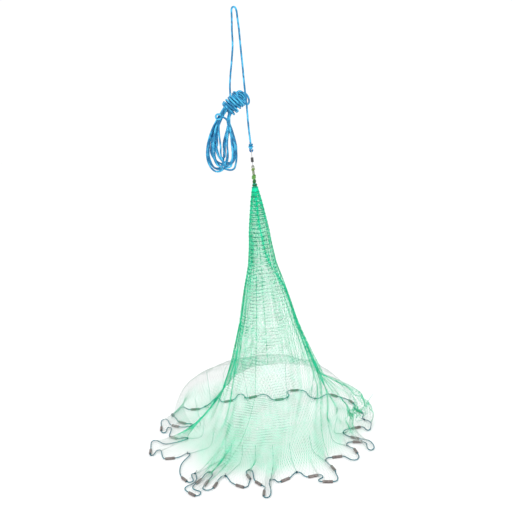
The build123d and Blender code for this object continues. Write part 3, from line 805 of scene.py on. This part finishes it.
def bunched(points, angle, flare):
    """Points drawn in to the places where the netting is gathered."""
    for middle, share, width, height, pull, place in GATHERS:
        target = np.array([AXIS_X + place[0] * MM, place[1] * MM, FLOOR + place[2] * MM])
        off = (np.degrees(angle) - middle + 180) % 360 - 180
        near = pull * np.exp(-(off / width) ** 2 - ((flare - share) / height) ** 2)
        points = points + (target - points) * near[:, None]
    middle, share, width, height = CRUMPLE
    turn = np.degrees(angle)
    off = (turn - middle + 180) % 360 - 180
    near = np.exp(-(off / width) ** 2 - ((flare - share) / height) ** 2)
    across, along_it = turn / 4.5, flare * 14
    folds = np.column_stack([
        16 * np.sin(1.9 * across + 1.3 * np.sin(along_it)), 16 * np.sin(1.7 * along_it + across),
        12 * np.sin(2.3 * across + 1.9 * along_it)])
    return points + folds * MM * near[:, None]


def eased_round(line, share):
    """A closed line with its smaller wiggles smoothed out."""
    window = int(len(line) * share)
    wrapped = np.vstack([line[-window:], line, line[:window]])
    kernel = np.hanning(2 * window + 3)[1:-1]
    kernel /= kernel.sum()
    return np.column_stack([np.convolve(wrapped[:, axis], kernel, mode="valid") for axis in range(3)])


def net_surface(hem, hem_angle, place, row):
    """Points on the netting: place is the share of the way round, row the share of the way down."""
    count = len(hem)
    eased = eased_round(hem, 0.03)
    cone = CONE_SHARE
    at = np.mod(place, 1) * count
    index = np.floor(at).astype(int) % count
    after = (index + 1) % count
    share = (at - np.floor(at))[:, None]
    foot = hem[index] * (1 - share) + hem[after] * share
    calm = eased[index] * (1 - share) + eased[after] * share
    jump = np.where(after == 0, 2 * math.pi, 0)
    angle = hem_angle[index] * (1 - share[:, 0]) + (hem_angle[after] + jump) * share[:, 0]

    # on the cone the meshes are spread evenly; at the hem they follow the lead line
    spread = np.mean(hem_angle - np.linspace(0, 2 * math.pi, count, endpoint=False))
    even = 0.15 * angle + 0.85 * (spread + 2 * math.pi * np.mod(place, 1))

    outline = np.array(CONE_OUTLINE, float)
    travel = np.concatenate([[0], np.cumsum(np.linalg.norm(np.diff(outline, axis=0), axis=1))])
    down = np.clip(row / cone, 0, 1)
    down = down * (1.3 - 0.3 * down) * travel[-1]
    radius = np.interp(down, travel, outline[:, 0])
    height = np.interp(down, travel, outline[:, 1])
    turned = crowded(even, height)
    pleat = 0.03 * np.sin(7 * angle + 1.3 + 2.0 * row) + 0.02 * np.sin(17 * angle + 0.4 - 5 * row)
    pleat += 0.01 * np.sin(41 * angle + 9 * row)
    radius = radius * (1 + pleat * np.clip(row * 8, 0, 1))
    sag = 1.6 * np.sin(5 * angle + 14 * row) * np.clip(row * 4, 0, 1)
    upper = np.column_stack([
        AXIS_X + radius * MM * np.cos(turned), radius * MM * np.sin(turned), FLOOR + (height + sag) * MM])

    flare = np.clip((row - cone) / (1 - cone), 0, 1)[:, None]
    lowest = outline[-1] * MM
    foot_turn = crowded(even, np.full(len(row), outline[-1, 1]))
    foot_radius = lowest[0] * (1 + pleat)
    start = np.column_stack([
        AXIS_X + foot_radius * np.cos(foot_turn), foot_radius * np.sin(foot_turn),
        FLOOR + lowest[1] + sag * MM])
    middle_turn = 0.5 * foot_turn + 0.5 * angle
    shapes = []
    for table, turn, gain in ((SHOULDER, middle_turn, 0.8), (BELLY, angle, 0.5)):
        reach = round_table([point[0] for point in table], turn) * MM * (1 + pleat * gain)
        rise = round_table([point[1] for point in table], turn) * MM
        shapes.append(np.column_stack([AXIS_X + reach * np.cos(turn), reach * np.sin(turn), FLOOR + rise]))
    near_hem = np.clip((flare - 0.72) / 0.28, 0, 1) ** 1.6
    foot = calm + (foot - calm) * near_hem
    lower = (start * (1 - flare) ** 3 + 3 * shapes[0] * flare * (1 - flare) ** 2
             + 3 * shapes[1] * flare ** 2 * (1 - flare) + foot * flare ** 3)
    free = np.clip((1 - flare) * 8, 0, 1) * np.clip(row[:, None] / cone * 12 - 10, 0, 1)
    points = np.where(row[:, None] <= cone, upper, lower)
    points = points + (bunched(points, angle, flare[:, 0]) - points) * free
    points[:, 2] = np.maximum(points[:, 2], FLOOR + 0.0012)
    return points


def clearness(points, row):
    """How clear the netting is: 1 in the hem's pocket and round the back of the skirt."""
    cone = CONE_SHARE
    flare = np.clip((row - cone) / (1 - cone), 0, 1)
    pocket = np.clip((flare - 0.84) / 0.05, 0, 1)
    angle = np.degrees(np.arctan2(points[:, 1], points[:, 0] - AXIS_X))
    behind = np.clip((angle - 8) / 16, 0, 1) * np.clip((168 - angle) / 16, 0, 1)
    begun = np.clip((row - cone) / 0.02 + 1, 0, 1)
    return np.maximum(0.9 * pocket, 0.92 * behind * begun)


def mesh_count(row):
    """Meshes round the net at a row: the maker adds some every few rows."""
    total = CONE_ROWS + FLARE_ROWS
    steps = [(0.0, 84), (0.12, 104), (0.24, 132), (0.38, 164), (0.5, 204), (0.64, 252), (0.78, 300)]
    count = steps[0][1]
    for share, meshes in steps:
        if row >= share * total:
            count = meshes
    return count


def netting_graph():
    """Nodes of the netting as rows of places, and the bars that join them."""
    rows = CONE_ROWS + FLARE_ROWS + 1
    places, shares, bars = [], [], []
    previous, start = None, 0
    for row in range(rows):
        count = mesh_count(row)
        place = (np.arange(count) + (0.5 if row % 2 else 0.0)) / count
        places.append(place)
        shares.append(np.full(count, row / (rows - 1)))
        if previous is not None:
            old_start, old_count, old_shift = previous
            position = place * old_count - old_shift
            if old_count == count:
                low = np.floor(position + 1e-6).astype(int) % old_count
                high = (low + 1) % old_count
                numbers = np.arange(count) + start
                bars.append(np.column_stack([old_start + low, numbers]))
                bars.append(np.column_stack([old_start + high, numbers]))
            else:
                near = np.round(position).astype(int) % old_count
                numbers = np.arange(count) + start
                bars.append(np.column_stack([old_start + near, numbers]))
                old_place = (np.arange(old_count) + old_shift) / old_count
                beside = np.floor(old_place * count - (0.5 if row % 2 else 0.0)).astype(int)
                above = np.arange(old_count) + old_start
                for step in (0, 1):
                    bars.append(np.column_stack([above, start + (beside + step) % count]))
        previous = (start, count, 0.5 if row % 2 else 0.0)
        start += count
    bars = np.unique(np.vstack(bars), axis=0)
    return np.concatenate(places), np.concatenate(shares), bars


def netting_tree():
    """Geometry Nodes: a tube along every bar and a knot at every crossing."""
    tree = bpy.data.node_groups.new("knotted_netting", "GeometryNodeTree")
    tree.interface.new_socket("Geometry", in_out="INPUT", socket_type="NodeSocketGeometry")
    for name in ("Strand diameter", "Knot width"):
        tree.interface.new_socket(name, in_out="INPUT", socket_type="NodeSocketFloat")
    for name in ("Strand finish", "Knot finish"):
        tree.interface.new_socket(name, in_out="INPUT", socket_type="NodeSocketMaterial")
    tree.interface.new_socket("Geometry", in_out="OUTPUT", socket_type="NodeSocketGeometry")
    nodes, links = tree.nodes, tree.links
    inlet, outlet = nodes.new("NodeGroupInput"), nodes.new("NodeGroupOutput")
    halves = {name: math_node(tree, "MULTIPLY", inlet.outputs[name], 0.5)
              for name in ("Strand diameter", "Knot width")}
    bars = nodes.new("GeometryNodeSplitEdges")
    to_curve = nodes.new("GeometryNodeMeshToCurve")
    profile = nodes.new("GeometryNodeCurvePrimitiveCircle")
    profile.inputs["Resolution"].default_value = 4
    sweep = nodes.new("GeometryNodeCurveToMesh")
    links.new(inlet.outputs["Geometry"], bars.inputs[0])
    links.new(bars.outputs[0], to_curve.inputs["Mesh"])
    width = nodes.new("GeometryNodeInputNamedAttribute")
    width.inputs["Name"].default_value = "strand_size"
    sized = nodes.new("GeometryNodeSetCurveRadius")
    links.new(to_curve.outputs["Curve"], sized.inputs["Curve"])
    links.new(width.outputs["Attribute"], sized.inputs["Radius"])
    links.new(halves["Strand diameter"], profile.inputs["Radius"])
    links.new(sized.outputs["Curve"], sweep.inputs["Curve"])
    links.new(profile.outputs["Curve"], sweep.inputs["Profile Curve"])
    strand_paint = nodes.new("GeometryNodeSetMaterial")
    links.new(sweep.outputs["Mesh"], strand_paint.inputs["Geometry"])
    links.new(inlet.outputs["Strand finish"], strand_paint.inputs["Material"])
    knot = nodes.new("GeometryNodeMeshIcoSphere")
    knot.inputs["Subdivisions"].default_value = 1
    links.new(halves["Knot width"], knot.inputs["Radius"])
    flat = nodes.new("GeometryNodeTransform")
    flat.inputs["Scale"].default_value = (1.0, 1.0, 1.3)
    links.new(knot.outputs["Mesh"], flat.inputs["Geometry"])
    spread = nodes.new("GeometryNodeInstanceOnPoints")
    turn = nodes.new("FunctionNodeRandomValue")
    turn.data_type = "FLOAT_VECTOR"
    turn.inputs["Min"].default_value = (-0.4, -0.4, 0.0)
    turn.inputs["Max"].default_value = (0.4, 0.4, 6.2)
    turn.inputs["Seed"].default_value = 5
    to_turn = nodes.new("FunctionNodeEulerToRotation")
    links.new(turn.outputs[0], to_turn.inputs[0])
    swell = nodes.new("GeometryNodeInputNamedAttribute")
    swell.inputs["Name"].default_value = "knot_size"
    links.new(inlet.outputs["Geometry"], spread.inputs["Points"])
    links.new(flat.outputs["Geometry"], spread.inputs["Instance"])
    links.new(to_turn.outputs[0], spread.inputs["Rotation"])
    links.new(swell.outputs["Attribute"], spread.inputs["Scale"])
    real = nodes.new("GeometryNodeRealizeInstances")
    links.new(spread.outputs["Instances"], real.inputs["Geometry"])
    knot_paint = nodes.new("GeometryNodeSetMaterial")
    links.new(real.outputs["Geometry"], knot_paint.inputs["Geometry"])
    links.new(inlet.outputs["Knot finish"], knot_paint.inputs["Material"])
    both = nodes.new("GeometryNodeJoinGeometry")
    links.new(strand_paint.outputs["Geometry"], both.inputs["Geometry"])
    links.new(knot_paint.outputs["Geometry"], both.inputs["Geometry"])
    links.new(both.outputs["Geometry"], outlet.inputs["Geometry"])
    return tree


def grown(piece, tree, **inputs):
    """The piece with the tree applied, as a plain mesh."""
    modifier = piece.modifiers.new("grow", "NODES")
    modifier.node_group = tree
    for item in tree.interface.items_tree:
        if item.in_out == "INPUT" and item.name in inputs:
            modifier[item.identifier] = inputs[item.name]
    bpy.context.view_layer.update()
    depsgraph = bpy.context.evaluated_depsgraph_get()
    mesh = bpy.data.meshes.new_from_object(piece.evaluated_get(depsgraph))
    piece.modifiers.remove(modifier)
    piece.data = mesh
    return piece


GORE_NODES = ["net_gore_front", "net_gore_front_right", "net_gore_back_right",
              "net_gore_back", "net_gore_back_left", "net_gore_front_left"]


def make_netting(line):
    hem = spaced(line, HEM_STEPS, closed=True)
    angles = hem_angles(hem)
    places, shares, bars = netting_graph()
    points = net_surface(hem, angles, places, shares)
    clear = clearness(points, shares)
    behind = np.clip((points[:, 1] - 0.03) / 0.05, 0, 1)
    behind *= np.clip((0.22 - abs(points[:, 0] - AXIS_X)) / 0.05, 0, 1)
    sizes = np.interp(shares, [0.0, 0.25, 0.5, 0.64, 1.0], [1.8, 1.4, 1.1, 1.2, 1.0])
    sizes *= 1 - (0.6 + 0.25 * behind) * clear
    turn = 2 * math.pi * places
    sizes *= 1 + 0.22 * np.sin(5 * turn + 31 * shares) + 0.18 * np.sin(13 * turn - 57 * shares)
    widths = np.interp(shares, [0.0, 0.2, 0.5, 1.0], [1.35, 1.1, 0.95, 0.95])
    widths *= 1 - (0.4 + 0.4 * behind) * clear
    # the strands look thicker where the skirt is crumpled
    middle, share, width, height = CRUMPLE
    leaving = np.interp(places, np.linspace(0, 1, len(angles)), angles)
    off = (np.degrees(leaving) - middle + 180) % 360 - 180
    flare = (shares - CONE_SHARE) / (1 - CONE_SHARE)
    widths *= 1 + 0.7 * np.exp(-(off / width) ** 2 - ((flare - share) / height) ** 2)
    tree = netting_tree()
    around = np.mod(places, 1)
    # a gore is the sixth part of the meshes whose foot lies in its sixth of the circle
    middle_angle = np.interp(around, np.linspace(0, 1, len(angles), endpoint=False), angles)
    gore = np.floor(np.mod(np.degrees(middle_angle) + 120, 360) / 60).astype(int)
    for number, node_name in enumerate(GORE_NODES):
        mine = bars[gore[bars[:, 1]] == number]
        used, renumbered = np.unique(mine, return_inverse=True)
        mesh = bpy.data.meshes.new(node_name + "_meshes")
        mesh.from_pydata(points[used].tolist(), renumbered.reshape(-1, 2).tolist(), [])
        for name, values in (("clear", clear), ("knot_size", sizes), ("strand_size", widths)):
            layer = mesh.attributes.new(name, "FLOAT", "POINT")
            layer.data.foreach_set("value", values[used].astype(np.float32))
        piece = link(node_name + "_meshes", mesh)
        grown(piece, tree, **{
            "Strand diameter": STRAND_DIAMETER, "Knot width": KNOT_DIAMETER,
            "Strand finish": MATERIALS["netting"], "Knot finish": MATERIALS["knots"]})
        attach(piece, "net")
        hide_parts(node_name)
        print(node_name, "bars", len(mine), "faces", len(piece.data.polygons))
    make_seams(hem, angles)


def make_seams(hem, angles):
    """Lacing down the six seams, twisted round the netting."""
    meshes = []
    rows = np.linspace(0.0, 1.0, 260)
    for number in range(GORES):
        wanted = math.radians(-120 + 60 * number)
        place = np.interp(wanted + 2 * math.pi * np.array([0, 1, 2]), angles,
                          np.linspace(0, 1, len(angles), endpoint=False), left=-1, right=-1).max()
        line = net_surface(hem, angles, np.full(len(rows), place), rows)
        doubled = 1.8 if number in (2, 5) else 1.0
        meshes.append(tube(f"seam_{number}", line, SEAM_DIAMETER / 2 * doubled, 6))
    seams = joined("seam_lacing_twine", meshes)
    paint(seams, "seam")
    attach(seams, "net")
    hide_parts("seam_lacing")


# ---- kept pieces, floor and lights ------------------------
KEPT = {
    "rope_eye": "rope", "swivel_upper_eye": "wire", "swivel_barrel": "barrel", "swivel_lower_eye": "wire",
    "crown_loop": "olive_twine", "crown_strands": "olive_twine", "net_neck": "knots",
    "lead_line_knot": "line", "hem_lashings": "line", "tuck_lines": "tuck",
    "sinkers_front": "lead", "sinkers_right": "lead", "sinkers_back": "lead", "sinkers_left": "lead",
}


def finish_kept():
    for name, key in KEPT.items():
        paint(NODES[name], key)


def make_studio():
    floor = bpy.data.meshes.new("studio_floor")
    reach = 12.0
    corners = [(-reach, -reach), (reach, -reach), (reach, reach), (-reach, reach)]
    floor.from_pydata([(x, y, FLOOR - 0.0002) for x, y in corners], [], [(0, 1, 2, 3)])
    piece = link("studio_floor", floor)
    piece.data.materials.append(studio_floor())
    world = bpy.data.worlds.new("studio")
    world.use_nodes = True
    world.node_tree.nodes["Background"].inputs["Color"].default_value = (1, 1, 1, 1)
    world.node_tree.nodes["Background"].inputs["Strength"].default_value = 1.05
    bpy.context.scene.world = world
    for name, place, size, power in LIGHTS:
        data = bpy.data.lights.new(name, "AREA")
        data.size = size
        data.energy = power
        light = bpy.data.objects.new(name, data)
        aim = Vector((0, 0, -0.7)) - Vector(place)
        light.rotation_euler = aim.to_track_quat("-Z", "Y").to_euler()
        light.location = place
        bpy.context.collection.objects.link(light)
    bpy.context.scene.view_settings.view_transform = "Standard"


# ---- the making -------------------------------------------
make_camera()
make_materials()
rope, rope_line, rope_length = make_hand_rope()
tail_eye = make_tail_eye()
lead_cord, lead_path, lead_length = make_lead_line()
make_knots()
make_netting(lead_path)
finish_kept()
make_studio()
bpy.context.view_layer.update()
